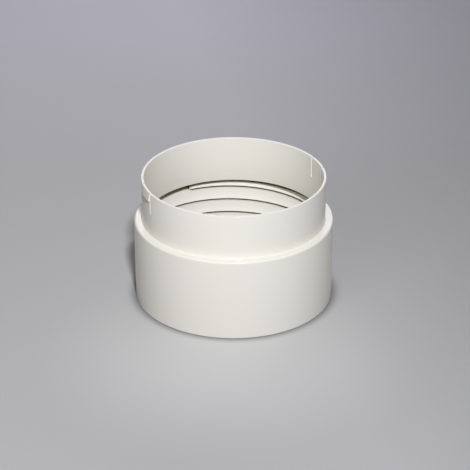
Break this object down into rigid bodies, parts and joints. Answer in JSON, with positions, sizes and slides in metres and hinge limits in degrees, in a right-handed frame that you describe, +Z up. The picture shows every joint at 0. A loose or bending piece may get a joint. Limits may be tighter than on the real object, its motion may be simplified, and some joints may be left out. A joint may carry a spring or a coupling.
{
  "type": "portable air conditioner wall adapter",
  "caption": "One-piece ivory plastic adapter that joins a portable air conditioner's hose to a round wall opening: stepped sleeve, barbed snap tabs and a coarse internal hose thread.",
  "frame": {"origin": "middle of the body's open lower end, on the surface the adapter stands on", "axes": "+Z up along the air passage, from the hose end to the collar; the near side of the picture faces -Y, with +X to its right"},
  "size_m": [0.14, 0.14, 0.0906],
  "materials": {
    "ivory_plastic": "satin, moulded"
  },
  "bodies": {
    "root": {"wall_adapter": "ivory_plastic"}
  },
  "joints": []
}
